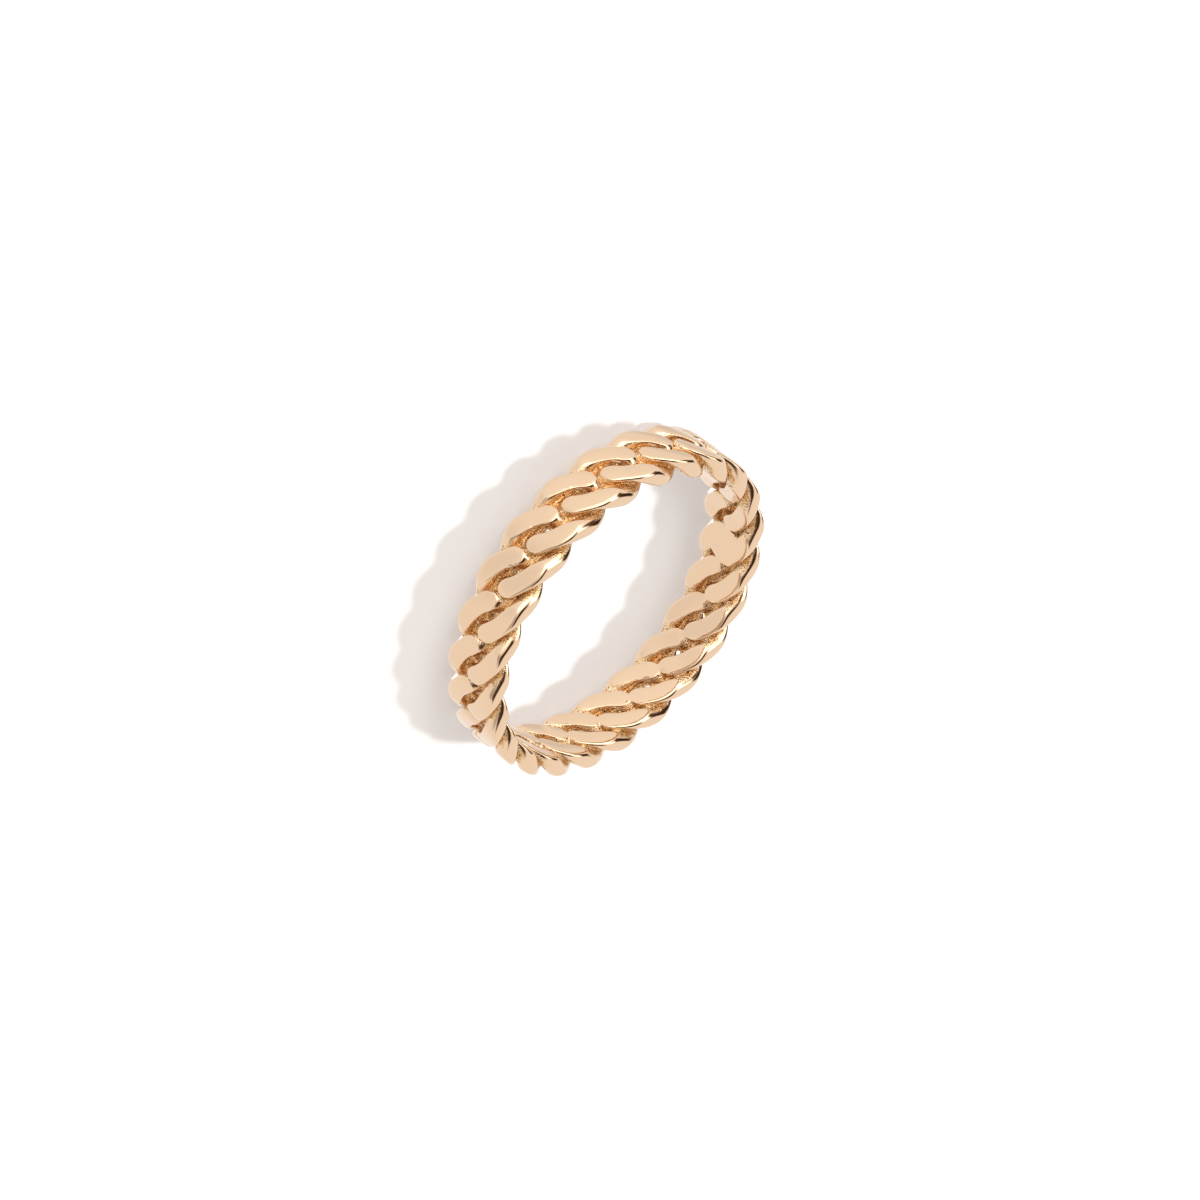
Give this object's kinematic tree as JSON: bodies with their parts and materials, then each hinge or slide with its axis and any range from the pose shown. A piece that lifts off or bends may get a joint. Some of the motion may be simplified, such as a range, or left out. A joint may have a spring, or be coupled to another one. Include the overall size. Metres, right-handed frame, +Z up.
{
  "type": "curb link ring",
  "caption": "Rigid one-piece finger ring whose band is a row of flat-filed curb chain links, lying on its side.",
  "frame": {"origin": "on the floor, under the middle of the ring lying on its side", "axes": "+Z up along the ring's own axis, through the finger hole; -Y faces the picture's camera"},
  "size_m": [0.0198, 0.0198, 0.0036],
  "materials": {
    "gold": "warm yellow gold, polished flat facets, grainy as cast in the recesses"
  },
  "bodies": {
    "root": {"link_band": "gold"}
  },
  "joints": []
}
